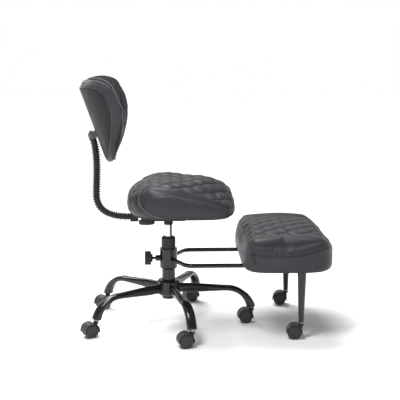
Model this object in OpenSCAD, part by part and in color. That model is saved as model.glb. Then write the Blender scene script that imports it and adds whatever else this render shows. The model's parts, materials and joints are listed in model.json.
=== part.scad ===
// Swivel chair with a wide quilted seat, a small wrap-around backrest on a corrugated hose stalk,
// a five-legged castered base and a quilted leg rest that swings round the column on its own casters.
// Origin: on the floor, on the column's axis. +X forwards (towards the leg rest), +Y left, +Z up.

/* [Base] */
// Radius of the circle that the base casters' stems stand on
stem_circle_r = 314.3; // [290:0.1:340]
// Angle of the first base leg from the forward direction
first_leg_angle = -3.15; // [-36:0.05:36]
// Height of the legs' centre line where they leave the hub
leg_z = 134; // [128:1:142]
// Outer diameter of the hub
hub_d = 86; // [80:1:100]
// Underside of the hub
hub_z0 = 109; // [104:1:113]
// Top of the hub
hub_z1 = 166; // [160:1:175]

/* [Column] */
// Outer diameter of the column tube
tube_d = 50; // [48:1:52]
// Wall of the column tube
tube_wall = 2; // [1.5:0.5:3]
// Top of the column tube
tube_z1 = 287; // [287:1:295]
// Diameter of the chrome gas cylinder
cylinder_d = 28; // [26:1:30]
// Diameter of the rod inside the gas cylinder
rod_d = 10; // [8:1:12]
// Top of the plastic guide collar
collar_z1 = 332; // [325:1:340]
// Underside of the mechanism's socket
socket_z = 378; // [374:1:383]

/* [Casters] */
// Wheel diameter
wheel_d = 50; // [46:1:54]
// Width of one wheel
wheel_w = 19; // [16:1:20]
// Distance from the stem's axis back to the axle
trail = 23.5; // [22:0.5:25]
// Diameter of the steel stem
stem_d = 11; // [10:0.5:12]
// Height of the underside of the sockets that hold the stems
socket_rim_z = 61; // [60:1:63]

/* [Seat] */
// Front of the seat cushion
seat_front = 244; // [235:1:250]
// Back of the seat cushion
seat_back = -154; // [-160:1:-150]
// Half the seat's width
seat_half_w = 240; // [220:1:245]
// Underside of the seat cushion
seat_z0 = 431; // [431:1:433]
// Height of the seat's shoulder line at the column
seat_shoulder_z = 532; // [525:1:540]
// Rise of the seat's middle above its shoulder line
seat_crown = 28; // [20:1:34]
// Forward slope of the seat's top, in degrees
seat_slope = 1; // [0:0.5:8]

/* [Leg rest] */
// Back edge of the leg-rest cushion
rest_back = 261; // [258:1:270]
// Front edge of the leg-rest cushion
rest_front = 598; // [570:1:605]
// Half the leg rest's width
rest_half_w = 274; // [260:1:280]
// Underside of the leg-rest cushion
rest_z0 = 246; // [244:1:250]
// Top of the leg rest's edge
rest_z1 = 370; // [360:1:374]
// Rise of the leg rest's middle above its edge
rest_crown = 11; // [6:1:16]
// Height of the two rails' centre lines
rail_z = 248.6; // [246:0.1:251]
// Half the distance between the rails
rail_y = 133; // [120:1:150]
// Rail diameter
rail_d = 16; // [14:1:18]
// Forward position of the leg rest's own legs
rest_leg_x = 474; // [440:1:490]
// Half the distance between the leg rest's own legs
rest_leg_y = 222; // [210:1:230]

/* [Backrest] */
// Lean of the backrest from upright, in degrees
back_lean = 19.4; // [10:0.1:25]
// Half the backrest's width
back_half_w = 204; // [190:1:210]
// Height from the backrest's tip to its widest line
back_wide_h = 215; // [200:1:225]
// Height from the backrest's widest line to its top
back_top_h = 82; // [70:1:90]
// Radius that the backrest wraps round, seen from above
back_wrap_r = 265; // [230:1:300]
// Thickness of the rear panel
back_panel_t = 8; // [6:1:12]
// Thickness of the padding at its edge, rear panel included
back_edge_t = 44; // [40:1:50]
// Rise of the front of the padding above its edge
back_crown = 31; // [25:1:40]

/* [Hidden] */
$fn = 48;

fit = 0.05;          // radial running clearance of a shaft in its bore
gap = 0.3;           // clearance between moving faces

// Base
base_leg_count = 5;
leg_bend_x = 220;                                   // where a leg starts to curve down
leg_bend_r = stem_circle_r - leg_bend_x;
leg_end_angle = 76.6;                               // how far a leg's centre line turns down
tube_z0 = 95;
tube_floor = 4;
tube_bore_r = tube_d / 2 - tube_wall;
stem_top_z = 85;
hood_top_z = 57.5;
stem_bottom_z = 49.5;
axle_r = 3;
axle_reach = 17;
hood_r = 29.3;

// Gas cylinder
cylinder_z0 = 125;
cylinder_z1 = 419;
rod_z0 = 90;
rod_z1 = 295;

// Mechanism
housing_z0 = 395;
housing_z1 = 423;
housing_back = -100;
housing_front = 62;
housing_half_w = 33;
tilt_x = 45;
tilt_z = 409;
tilt_pin_d = 10;
ear_y0 = 34;
ear_y1 = 38;
plate_z0 = 430;
plate_z1 = 434;
plate_back = -65;
plate_front = 105;
plate_half_w = 75;
board_t = 12;
board_inset = 18;
pocket_inset = 17.5;
bolt_x = [-42, 84];
bolt_y = 60;
lever_x = 5;
lever_y = 41;
lever_z = 401;
lever_pin_d = 5;
lever_tip_y = 210;
knob_x = -81;
knob_d = 60;
knob_z0 = 380;
knob_z1 = 393;

// Hose: the centre line's control points in the plane Y = 0, as [x, z], lower run then upper run
hose_r = 15;
hose_z = 408;                                       // height of its lower, level end
hose_lower = [[-136, hose_z], [-190, hose_z], [-262, hose_z + 5], [-267, 487]];
hose_upper = [[-267, 487], [-266, 555], [-256, 635], [-275, 699]];
bracket_back = -142;
bracket_front = -112;

// Backrest
back_tip = [-225.5, 610];                           // lowest point of the rear panel, [x, z]
back_up = [-sin(back_lean), cos(back_lean)];
back_out = [cos(back_lean), sin(back_lean)];
fitting_len = 24;

// Leg rest
sleeve_r = 33;
sleeve_z0 = 209;
sleeve_z1 = 286.5;
boss_x = -49;
rail_start_angle = 62.5;
rail_turn = 64;
rail_bend_r = 38;
rail_end_x = 500;
bar_t = 4;
bar_z0 = rail_z + rail_d / 2;
rest_board_z0 = bar_z0 + bar_t;

// How far each caster has swivelled from trailing backwards: five on the base, two on the leg rest
caster_yaw = [3, 20, 40, 30, 12, -6, -8];
base_stems = [for (i = [0:base_leg_count - 1])
    let (a = first_leg_angle + i * 360 / base_leg_count) stem_circle_r * [cos(a), sin(a)]];
caster_at = concat(base_stems, [[rest_leg_x, -rest_leg_y], [rest_leg_x, rest_leg_y]]);

// ---- shapes shared by several pieces ----

// Radius at angle a of a rounded-rectangle outline with half sizes rx and ry; n is its squareness
function round_r(a, rx, ry, n) = pow(pow(abs(cos(a)) / rx, n) + pow(abs(sin(a)) / ry, n), -1 / n);

// An outline that is squarer in front (n1, reach r1) than behind (n2, reach r2)
function outline(r1, r2, ry, n1, n2, count = 56) = [for (i = [0:count - 1])
    let (a = i * 360 / count, ahead = cos(a) >= 0)
    round_r(a, ahead ? r1 : r2, ry, ahead ? n1 : n2) * [cos(a), sin(a)]];

// A closed solid through a stack of rings that all have the same number of points. It ends in a flat
// face, or in a fan of triangles where a peak is given. flip takes the other diagonal of each square, so
// that two lofts laid back to back keep an even gap
module loft(rings, peak = [], flip = false) {
    n = len(rings[0]);
    last = len(rings) - 1;
    sides = [for (i = [0:last - 1], j = [0:n - 1])
        let (a = i * n + j, b = i * n + (j + 1) % n)
        each flip ? [[a, a + n, b], [b, a + n, b + n]] : [[a, a + n, b + n], [a, b + n, b]]];
    bottom = [for (j = [0:n - 1]) j];
    top = len(peak) == 0 ? [[for (j = [n - 1:-1:0]) last * n + j]]
        : [for (j = [0:n - 1]) [last * n + (j + 1) % n, last * n + j, (last + 1) * n]];
    points = [for (r = rings) each r];
    polyhedron(len(peak) == 0 ? points : concat(points, [peak]), concat([bottom], sides, top));
}

// A cushion's levels as [inset, z, rise]: rounded underside, near-vertical side, rounded shoulder.
// rise goes from 0 below to 1 at the top, for a top that slopes
function cushion_levels(z0, z1, low_r, high_r) = concat(
    [for (a = [0:22.5:90]) [low_r * (1 - sin(a)), z0 + low_r * (1 - cos(a)), 0]],
    [[-2, (z0 + low_r + z1 - high_r) / 2, 0.5]],
    [for (a = [0:15:90]) [high_r * (1 - cos(a)), z1 - high_r * (1 - sin(a)), 1]]);

// A crowned cushion on the outline above; slope is the fall of its top per unit of x
module cushion(front, back, half_w, n_front, n_back, z0, z1, low_r, high_r, crown, slope) {
    mid = (front + back) / 2;
    half = (front - back) / 2;
    function ring(inset, z, rise) = [for (p = outline(half - inset, half - inset, half_w - inset,
        n_front, n_back)) [mid + p.x, p.y, z - rise * slope * (mid + p.x)]];
    function dome(k) = [for (p = outline(half - high_r, half - high_r, half_w - high_r, n_front, n_back))
        [mid + k * p.x, k * p.y, z1 + crown * (1 - k * k) - slope * (mid + k * p.x)]];
    loft(concat([for (l = cushion_levels(z0, z1, low_r, high_r)) ring(l[0], l[1], l[2])],
        [for (k = [0.85, 0.65, 0.4, 0.15]) dome(k)]), [mid, 0, z1 + crown - slope * mid]);
}

// A flat board on the same outline, smaller by inset all round
module slab(front, back, half_w, n_front, n_back, z0, t, inset) {
    half = (front - back) / 2 - inset;
    translate([(front + back) / 2, 0, z0])
        linear_extrude(t) polygon(outline(half, half, half_w - inset, n_front, n_back));
}

// Cylinders along X and along Y
module along_x(d, x0, x1) {
    translate([x0, 0, 0]) rotate([0, 90, 0]) cylinder(d = d, h = x1 - x0);
}

module along_y(d, y0, y1) {
    translate([0, y1, 0]) rotate([90, 0, 0]) cylinder(d = d, h = y1 - y0);
}

// ---- base ----

module base_hub() {
    edge = 5;
    color("#202124") rotate_extrude() polygon([[tube_d / 2, hub_z0], [hub_d / 2 - edge, hub_z0],
        [hub_d / 2, hub_z0 + edge], [hub_d / 2, hub_z1 - edge], [hub_d / 2 - edge, hub_z1],
        [tube_d / 2, hub_z1]]);
}

// One leg's section at s = 0 (hub) to 1 (tip): [x, z, turn, half height, half width]
function leg_station(s) =
    let (straight = leg_bend_x - hub_d / 2 + 8, arc = leg_bend_r * leg_end_angle * PI / 180,
        d = s * (straight + arc), bent = d > straight,
        turn = bent ? (d - straight) / leg_bend_r * 180 / PI : 0,
        x = bent ? leg_bend_x + leg_bend_r * sin(turn) : hub_d / 2 - 8 + d,
        z = bent ? leg_z - leg_bend_r * (1 - cos(turn)) : leg_z,
        flat = min(1, max(0, (s - 0.2) / 0.35)), flare = max(0, (s - 0.78) / 0.22))
    [x, z, turn, 17.5 - 7 * flat + 6.5 * flare, 11 + 7 * flat];

function leg_ring(s, count = 20) = let (q = leg_station(s)) [for (i = [0:count - 1])
    let (a = -i * 360 / count, r = round_r(a, q[4], q[3], 2.4), w = r * cos(a), h = r * sin(a))
    [q[0] + h * sin(q[2]), w, q[1] + h * cos(q[2])]];

module base_leg(i) {
    tip_floor = [stem_circle_r - 60, -40, socket_rim_z - 60];
    color("#1c1d20") rotate([0, 0, first_leg_angle + i * 360 / base_leg_count]) difference() {
        loft([for (k = [0:18]) leg_ring(k / 18)]);
        cylinder(d = hub_d, h = 300);
        translate(tip_floor) cube([120, 80, 60]);
        translate([stem_circle_r, 0, 0]) cylinder(d = stem_d + 2 * fit, h = stem_top_z + 1);
    }
}

module column_tube() {
    color("#1b1c1e") difference() {
        translate([0, 0, tube_z0]) cylinder(d = tube_d, h = tube_z1 - tube_z0);
        translate([0, 0, tube_z0 + tube_floor]) cylinder(r = tube_bore_r, h = tube_z1);
        translate([0, 0, tube_z0 - 1]) cylinder(d = rod_d + 2 * fit, h = tube_floor + 2);
    }
}

module column_collar() {
    notches = 8;
    color("#2a2b2e") difference() {
        union() {
            translate([0, 0, tube_z1]) cylinder(d = tube_d + 3, h = collar_z1 - 6 - tube_z1);
            translate([0, 0, collar_z1 - 6]) cylinder(d1 = tube_d + 3, d2 = tube_d - 6, h = 6);
            translate([0, 0, tube_z1 - 30]) cylinder(r = tube_bore_r, h = 31);
        }
        translate([0, 0, tube_z1 - 31]) cylinder(d = cylinder_d + 2 * fit, h = 100);
        for (i = [0:notches - 1]) rotate([0, 0, (i + 0.5) * 360 / notches])
            translate([tube_d / 2 - 3, -3, collar_z1 - 5]) cube([10, 6, 10]);
    }
}

// Rod of the gas spring, with its thrust bearing above the tube's floor and its clip below
module gas_rod() {
    bearing_z = tube_z0 + tube_floor + gap;
    color("#9a9da1") {
        translate([0, 0, rod_z0]) cylinder(d = rod_d, h = rod_z1 - rod_z0);
        translate([0, 0, bearing_z]) cylinder(d = 30, h = 8);
        translate([0, 0, rod_z0]) cylinder(d = 18, h = tube_z0 - gap - rod_z0);
    }
}

module gas_cylinder() {
    color("#c9ccd0") difference() {
        translate([0, 0, cylinder_z0]) cylinder(d = cylinder_d, h = cylinder_z1 - cylinder_z0);
        translate([0, 0, cylinder_z0 - 1]) cylinder(d = rod_d + 2 * fit, h = rod_z1 - cylinder_z0 + 11);
    }
}

// ---- mechanism under the seat ----

module lever_clevis() {
    for (side = [-1, 1]) translate([lever_x + side * 7.8 - 1.5, housing_half_w - 1, lever_z - 7])
        cube([3, lever_y - housing_half_w + 8, 14]);
    translate([lever_x - 9.3, lever_y, lever_z]) rotate([0, 90, 0]) cylinder(d = lever_pin_d, h = 18.6);
}

module mechanism_housing() {
    color("#232427") {
        difference() {
            union() {
                translate([housing_back, -housing_half_w, housing_z0])
                    cube([housing_front - housing_back, 2 * housing_half_w, housing_z1 - housing_z0]);
                translate([0, 0, socket_z]) cylinder(d = 34, h = housing_z0 - socket_z + 1);
                translate([housing_back + 4, -25, housing_z1]) cube([18, 50, plate_z0 - gap - housing_z1]);
            }
            translate([0, 0, socket_z - 1]) cylinder(d = cylinder_d, h = cylinder_z1 - socket_z + 1);
            translate([tilt_x, 0, tilt_z]) along_y(tilt_pin_d, -60, 60);
            translate([knob_x, 0, housing_z0 - 1]) cylinder(d = rod_d + 2 * fit, h = 24);
        }
        lever_clevis();
    }
}

module tilt_pin() {
    color("#8d9094") translate([tilt_x, 0, tilt_z]) {
        along_y(tilt_pin_d, -ear_y1 - 2, ear_y1 + 2);
        for (side = [-1, 1]) translate([0, side * (ear_y1 + 2.5), 0])
            along_y(tilt_pin_d + 4, -1.5, 1.5);
    }
}

// Lever that releases the gas spring: a rod to the left, with a flattened plastic grip
module height_lever() {
    grip_y = lever_tip_y - 62;
    color("#26272a") translate([lever_x, 0, lever_z]) difference() {
        union() {
            translate([0, lever_y, 0]) along_x(14, -6, 6);
            along_y(8, lever_y + 4, grip_y + 10);
            hull() for (y = [grip_y + 6, lever_tip_y - 13]) translate([0, y, -4])
                cylinder(d = y > grip_y + 10 ? 26 : 14, h = 8, $fn = 32);
        }
        translate([0, lever_y, 0]) along_x(lever_pin_d + 2 * fit, -10, 10);
    }
}

module tension_knob() {
    lobes = 8;
    color("#1f2023") translate([knob_x, 0, 0]) {
        translate([0, 0, knob_z0]) difference() {
            cylinder(d = knob_d, h = knob_z1 - knob_z0);
            for (i = [0:lobes - 1]) rotate([0, 0, (i + 0.5) * 360 / lobes])
                translate([knob_d / 2 + 5, 0, -1]) cylinder(d = 16, h = 30);
        }
        translate([0, 0, knob_z1 - 1]) cylinder(d = rod_d, h = 24);
    }
}

// ---- seat ----

module seat_plate() {
    color("#2b2c2f") difference() {
        union() {
            translate([plate_back, -plate_half_w, plate_z0])
                cube([plate_front - plate_back, 2 * plate_half_w, plate_z1 - plate_z0]);
            for (side = [-1, 1]) translate([tilt_x, side * (ear_y0 + ear_y1) / 2, 0])
                ear(ear_y1 - ear_y0);
        }
        translate([tilt_x, 0, tilt_z]) along_y(tilt_pin_d + 2 * fit, -60, 60);
        for (x = bolt_x, side = [-1, 1]) translate([x, side * bolt_y, plate_z0 - 1])
            cylinder(d = 8.4, h = 10);
    }
}

module ear(t) {
    translate([-12, -t / 2, tilt_z]) cube([24, t, plate_z0 + 1 - tilt_z]);
    translate([0, 0, tilt_z]) along_y(24, -t / 2, t / 2);
}

module seat_board() {
    color("#a07c50") difference() {
        slab(seat_front, seat_back, seat_half_w, 5, 3, plate_z1, board_t, board_inset);
        for (x = bolt_x, side = [-1, 1]) translate([x, side * bolt_y, plate_z1 - 1])
            cylinder(d = 8.4, h = 11);
    }
}

module seat_bolts() {
    color("#96999d") for (x = bolt_x, side = [-1, 1]) translate([x, side * bolt_y, plate_z0]) {
        translate([0, 0, -5]) cylinder(d = 14, h = 5, $fn = 6);
        cylinder(d = 8, h = 13);
    }
}

module seat_cushion() {
    slope = tan(seat_slope);
    color("#3b3b3e") difference() {
        cushion(seat_front, seat_back, seat_half_w, 5, 3, seat_z0, seat_shoulder_z, 16, 50,
            seat_crown, slope);
        slab(seat_front, seat_back, seat_half_w, 5, 3, seat_z0 - 1, plate_z1 + board_t + 1 - seat_z0,
            pocket_inset);
    }
}

// Clamp under the back of the seat that takes the hose stalk's lower end
module hose_bracket() {
    tab_back = -133;
    color("#242528") difference() {
        union() {
            translate([bracket_back, -18, hose_z - hose_r - 1])
                cube([bracket_front - bracket_back, 36, seat_z0 - gap - hose_z + hose_r + 1]);
            translate([tab_back, -18, seat_z0 - gap - 1]) cube([48, 36, plate_z1 - seat_z0 + gap + 1]);
        }
        translate([0, 0, hose_z]) along_x(2 * hose_r, bracket_back - 1, hose_lower[0].x);
    }
}

function bezier(p, t) = pow(1 - t, 3) * p[0] + 3 * t * pow(1 - t, 2) * p[1]
    + 3 * t * t * (1 - t) * p[2] + pow(t, 3) * p[3];

function bezier_step(p, t) = 3 * pow(1 - t, 2) * (p[1] - p[0]) + 6 * t * (1 - t) * (p[2] - p[1])
    + 3 * t * t * (p[3] - p[2]);

function hose_ring(p, t, count = 16) =
    let (c = bezier(p, t), d = bezier_step(p, t), u = d / norm(d)) [for (i = [0:count - 1])
    let (a = -i * 360 / count, side = hose_r * cos(a), out = hose_r * sin(a))
    [c.x - out * u.y, side, c.y + out * u.x]];

module hose() {
    steps = 16;
    color("#17181a") loft(concat(
        [for (k = [0:steps]) hose_ring(hose_lower, k / steps)],
        [for (k = [1:steps]) hose_ring(hose_upper, k / steps)]));
}

// ---- backrest ----

// World point of the backrest at sideways w, height h up the panel and t out from its rear face
function back_point(w, h, t) =
    let (wrap = back_wrap_r - sqrt(pow(back_wrap_r, 2) - w * w),
        p = back_tip + h * back_up + (t + wrap) * back_out) [p.x, w, p.y];

// Outline of the backrest, scaled by k about its widest line and raised at the top by grow
function back_outline(k, grow, count = 56) = [for (i = [0:count - 1])
    let (a = -i * 360 / count, up = sin(a) >= 0,
        r = k * round_r(a, back_half_w, up ? back_top_h + grow : back_wide_h, up ? 3.6 : 1.75))
    [r * cos(a), back_wide_h + r * sin(a)]];

function back_ring(k, t, grow = 0) = [for (p = back_outline(k, grow)) back_point(p.x, p.y, t)];

module back_panel() {
    color("#34353a") loft(concat(
        [for (k = [0.04, 0.3, 0.55, 0.8, 0.96]) back_ring(k, 0)],
        [back_ring(1, 3), back_ring(1, back_panel_t - gap)],
        [for (k = [0.8, 0.55, 0.3, 0.04]) back_ring(k, back_panel_t - gap)]), flip = true);
}

module back_cushion() {
    rise = 20;
    color("#3b3b3e") loft(concat(
        [for (k = [0.04, 0.3, 0.55, 0.8]) back_ring(k, back_panel_t)],
        [for (s = [0, 0.5, 1]) back_ring(1 + 0.048 * s * (1 - s),
            back_panel_t + s * (back_edge_t - back_panel_t), rise * s)],
        [for (k = [0.97, 0.9, 0.78, 0.6, 0.4, 0.2, 0.04])
            back_ring(k, back_edge_t + back_crown * (1 - pow(k, 6)), rise)]));
}

// Ferrule, domed cap and saddle plate that hold the backrest on the stalk's upper end
module back_fitting() {
    end = hose_upper[3];
    lean = atan2(hose_upper[2].x - end.x, end.y - hose_upper[2].y);
    color("#2d2e31") {
        translate([end.x, 0, end.y]) rotate([0, -lean, 0]) translate([0, 0, gap]) {
            cylinder(d1 = 2 * hose_r, d2 = 2 * hose_r - 3, h = fitting_len);
            translate([0, 0, fitting_len]) sphere(d = 18);
        }
        translate([back_tip.x, 0, back_tip.y]) rotate([0, -back_lean, 0])
            translate([-6 - gap, -30, 104]) cube([6, 60, 24]);
    }
}

// ---- leg rest ----

module clamp_sleeve() {
    color("#1d1e21") difference() {
        union() {
            translate([0, 0, sleeve_z0 + 6]) cylinder(r = sleeve_r, h = sleeve_z1 - sleeve_z0 - 6);
            translate([0, 0, sleeve_z0]) cylinder(r1 = sleeve_r - 5, r2 = sleeve_r, h = 6);
            translate([0, 0, rail_z]) along_x(22, boss_x, -sleeve_r + 6);
        }
        translate([0, 0, sleeve_z0 - 1]) cylinder(d = tube_d + 2 * fit, h = 200);
        translate([0, 0, rail_z]) along_x(rod_d + 2 * fit, boss_x - 1, -20);
    }
}

module clamp_knob() {
    head = [-89, -60];
    lobes = 6;
    color("#1f2023") translate([0, 0, rail_z]) {
        difference() {
            along_x(52, head[0], head[1] - 6);
            for (i = [0:lobes - 1]) rotate([(i + 0.5) * 360 / lobes, 0, 0])
                translate([0, 0, 30]) along_x(18, head[0] - 1, head[1]);
        }
        along_x(30, head[1] - 6, head[1]);
        along_x(rod_d, head[1] - 1, -tube_d / 2 - gap);
    }
}

module rail(side) {
    start = 20 * [cos(rail_start_angle), sin(rail_start_angle)];
    arc_y0 = rail_y - rail_bend_r * (1 - cos(rail_turn));
    arc_x0 = start.x + (arc_y0 - start.y) / tan(rail_turn);
    arc_x1 = arc_x0 + rail_bend_r * sin(rail_turn);
    run = norm([arc_x0 - start.x, arc_y0 - start.y]);
    color("#1b1c1e") mirror([0, side < 0 ? 1 : 0, 0]) translate([0, 0, rail_z]) difference() {
        union() {
            translate([start.x, start.y, 0]) rotate([0, 0, rail_turn]) along_x(rail_d, 0, run);
            translate([arc_x1, rail_y - rail_bend_r, 0]) rotate([0, 0, 90])
                rotate_extrude(angle = rail_turn) translate([rail_bend_r, 0]) circle(d = rail_d);
            translate([0, rail_y, 0]) along_x(rail_d, arc_x1, rail_end_x);
        }
        translate([0, 0, -20]) cylinder(r = sleeve_r, h = 40);
    }
}

// Flat bars across the rails: the rear one holds the cushion's board, the front one the legs too
module rest_crossbars() {
    color("#232427") for (bar = [[rest_leg_x, rest_leg_y + 24, 46], [330, rail_y + 24, 36]])
        translate([bar[0] - bar[2] / 2, -bar[1], bar_z0]) cube([bar[2], 2 * bar[1], bar_t]);
}

module rest_leg(side) {
    color("#1c1d20") translate([rest_leg_x, side * rest_leg_y, 0]) difference() {
        union() {
            translate([0, 0, socket_rim_z]) cylinder(d1 = 19, d2 = 33, h = bar_z0 - 5 - socket_rim_z);
            translate([0, 0, bar_z0 - 5]) cylinder(d = 44, h = 5);
        }
        translate([0, 0, socket_rim_z - 1]) cylinder(d = stem_d + 2 * fit, h = stem_top_z + 2 - socket_rim_z);
    }
}

module rest_board() {
    color("#a07c50") slab(rest_front, rest_back, rest_half_w, 4.5, 4, rest_board_z0, board_t, board_inset);
}

// The leg rest's cushion, with a pocket for its board and a notch behind for each rail
module rest_cushion() {
    notch_w = rail_d + 1;
    color("#3b3b3e") difference() {
        cushion(rest_front, rest_back, rest_half_w, 4.5, 4, rest_z0, rest_z1, 15, 32, rest_crown, 0);
        slab(rest_front, rest_back, rest_half_w, 4.5, 4, rest_z0 - 1,
            rest_board_z0 + board_t + 1 + gap - rest_z0, pocket_inset);
        for (side = [-1, 1]) translate([rest_back - 10, side * rail_y - notch_w / 2, rest_z0 - 1])
            cube([70, notch_w, bar_z0 + 2 - rest_z0]);
    }
}

// ---- casters: drawn with the stem's axis at the origin and the wheels trailing towards -X ----

module place_caster(i) {
    translate([caster_at[i].x, caster_at[i].y, 0]) rotate([0, 0, caster_yaw[i]]) children();
}

module caster_stem(i) {
    color("#85888c") place_caster(i) {
        translate([0, 0, stem_bottom_z]) cylinder(d = stem_d, h = stem_top_z - stem_bottom_z);
        translate([0, 0, hood_top_z]) cylinder(d = stem_d + 6, h = 1.5);
    }
}

// The hood over both wheels: a curved shell, a web between the wheels with the axle, a boss for the stem
module caster_hood(i) {
    web = 7;
    shell_w = 2 * wheel_w + web;
    boss_z = stem_bottom_z - 1.5;
    color("#222326") place_caster(i) difference() {
        union() {
            hood_arc(wheel_d / 2 + 1.5, hood_r, -12, 188, shell_w);
            hood_arc(2, hood_r - 1.5, -8, 184, web);
            translate([-trail, 0, wheel_d / 2]) {
                along_y(18, -web / 2, web / 2);
                along_y(2 * axle_r, -axle_reach, axle_reach);
            }
            translate([-12, -web / 2, boss_z - 13]) cube([17, web, 14]);
            translate([0, 0, boss_z]) cylinder(d = 19, h = hood_top_z - boss_z);
        }
        translate([0, 0, stem_bottom_z]) cylinder(d = stem_d + 2 * fit, h = 30);
    }
}

// An arc of material round the axle, w wide, from angle a0 in front of it to angle a1 behind it
module hood_arc(r0, r1, a0, a1, w) {
    translate([-trail, w / 2, wheel_d / 2]) rotate([90, 0, 0]) rotate([0, 0, a0])
        rotate_extrude(angle = a1 - a0) translate([r0, 0]) square([r1 - r0, w]);
}

// A wheel with a smooth, slightly domed cap, turning on its half of the axle
module caster_wheel(i, side) {
    wheel_r = wheel_d / 2;
    inner = 4.3;
    outer = inner + wheel_w;
    bore_r = axle_r + fit;
    color("#18191b") place_caster(i) translate([-trail, 0, wheel_r]) rotate([side > 0 ? -90 : 90, 0, 0])
        rotate_extrude() polygon([[bore_r, inner], [wheel_r - 2, inner], [wheel_r, inner + 3],
            [wheel_r, outer - 4], [wheel_r - 1.5, outer - 2], [wheel_r - 8, outer - 0.6], [10, outer],
            [0, outer], [0, axle_reach + gap], [bore_r, axle_reach + gap]]);
}

base_hub();
for (i = [1:base_leg_count]) base_leg(i - 1);
column_tube();
column_collar();
gas_rod();
gas_cylinder();
mechanism_housing();
tilt_pin();
height_lever();
tension_knob();
seat_plate();
seat_board();
seat_bolts();
seat_cushion();
hose_bracket();
hose();
back_fitting();
back_panel();
back_cushion();
clamp_sleeve();
clamp_knob();
rail(1);  // rail_left
rail(-1);  // rail_right
rest_crossbars();
rest_leg(1);  // rest_leg_left
rest_leg(-1);  // rest_leg_right
rest_board();
rest_cushion();
for (i = [1:7]) {
    caster_stem(i - 1);
    caster_hood(i - 1);
    caster_wheel(i - 1, 1);
    caster_wheel(i - 1, -1);
}
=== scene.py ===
"""Looks of the swivel chair: quilted leatherette cushions, corrugated hose, gloss-black steel.

Every length is in metres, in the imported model's frame: +X forward, +Y to the sitter's left, +Z up.
"""

import json
import math

import bpy
import numpy as np
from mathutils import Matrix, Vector
from mathutils.bvhtree import BVHTree


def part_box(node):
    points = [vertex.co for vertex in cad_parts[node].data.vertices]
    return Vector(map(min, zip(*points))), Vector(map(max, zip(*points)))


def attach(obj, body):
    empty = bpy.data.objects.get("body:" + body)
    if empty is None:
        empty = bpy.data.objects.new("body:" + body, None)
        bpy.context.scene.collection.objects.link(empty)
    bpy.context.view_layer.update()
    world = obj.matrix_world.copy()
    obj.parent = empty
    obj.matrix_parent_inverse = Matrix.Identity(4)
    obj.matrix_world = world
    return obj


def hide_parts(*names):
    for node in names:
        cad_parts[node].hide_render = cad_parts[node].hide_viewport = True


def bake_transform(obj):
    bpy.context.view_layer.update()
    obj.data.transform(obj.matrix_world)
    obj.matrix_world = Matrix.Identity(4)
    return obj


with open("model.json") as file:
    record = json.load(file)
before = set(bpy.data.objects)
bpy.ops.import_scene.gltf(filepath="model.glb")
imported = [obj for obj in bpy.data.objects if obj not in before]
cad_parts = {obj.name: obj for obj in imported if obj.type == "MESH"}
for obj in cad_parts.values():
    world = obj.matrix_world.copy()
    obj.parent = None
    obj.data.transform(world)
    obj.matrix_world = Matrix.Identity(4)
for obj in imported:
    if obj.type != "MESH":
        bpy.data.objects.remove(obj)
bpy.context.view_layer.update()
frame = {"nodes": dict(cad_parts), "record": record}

LEG_COUNT = 5
SIDES = ((-1, "right"), (1, "left"))        # of the sitter, with the sign of Y there
SWELL = 0.005      # room that a cushion is given to swell as cloth


# ---- numbers that several pieces share ----

def centre(node):
    low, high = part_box(node)
    return (low + high) / 2


def wave(t):
    """0 to 1 and back, smooth, with period 1."""
    return 0.5 - 0.5 * np.cos(2 * np.pi * t)


def ramp(value, start, end):
    """Goes smoothly from 0 at start to 1 at end."""
    t = np.clip((value - start) / (end - start), 0, 1)
    return t * t * (3 - 2 * t)


def bump(value, middle, width):
    """1 at middle, fading to 0 on both sides over about twice the width."""
    return np.exp(-((value - middle) / width) ** 2)


def ripple(points, scale, seed, waves=7):
    """Smooth random relief between about -1 and 1, the same on every run."""
    rng = np.random.default_rng(seed)
    total = np.zeros(len(points))
    for _ in range(waves):
        direction = rng.normal(size=3)
        direction *= rng.uniform(0.7, 1.5) / (scale * np.linalg.norm(direction))
        total += np.sin(points @ direction + rng.uniform(0, 2 * np.pi))
    return total / 4


# ---- meshes ----

def new_piece(name, points, faces, material):
    mesh = bpy.data.meshes.new(name)
    mesh.from_pydata([tuple(map(float, p)) for p in points], [], faces)
    mesh.polygons.foreach_set("use_smooth", [True] * len(faces))
    mesh.materials.append(material)
    made = bpy.data.objects.new(name, mesh)
    bpy.context.scene.collection.objects.link(made)
    return made


def loft_faces(ring_count, size):
    """Faces through rings of equal size, and a fan of triangles to a middle point at each end."""
    faces = []
    for i in range(ring_count - 1):
        for j in range(size):
            a, b = i * size + j, i * size + (j + 1) % size
            faces.append((a, b, b + size, a + size))
    first, last = ring_count * size, ring_count * size + 1
    top = (ring_count - 1) * size
    for j in range(size):
        faces.append((first, (j + 1) % size, j))
        faces.append((last, top + j, top + (j + 1) % size))
    return faces


def loft(name, rings, material):
    """A closed skin through rings of points."""
    rings = np.asarray(rings, float)
    ends = [rings[0].mean(0), rings[-1].mean(0)]
    points = np.vstack([rings.reshape(-1, 3), ends])
    return new_piece(name, points, loft_faces(len(rings), rings.shape[1]), material)


def tube(name, path, radii, material, sides=12, across=None):
    """A round tube along a path. across is the direction that starts each ring, if the path is plane."""
    path = np.asarray(path, float)
    along = np.gradient(path, axis=0)
    along /= np.linalg.norm(along, axis=1)[:, None]
    turn = np.linspace(0, 2 * np.pi, sides, endpoint=False)
    side = np.array(across if across is not None else [0.0, 0.0, 1.0])
    rings = []
    for point, direction, radius in zip(path, along, np.broadcast_to(radii, len(path))):
        side = side - direction * (side @ direction)
        side /= np.linalg.norm(side)
        up = np.cross(direction, side)
        rings.append(point + radius * (np.cos(turn)[:, None] * side + np.sin(turn)[:, None] * up))
    return loft(name, rings, material)


def get_points(obj):
    points = np.empty(len(obj.data.vertices) * 3, np.float32)
    obj.data.vertices.foreach_get("co", points)
    return points.reshape(-1, 3).astype(float)


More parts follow.
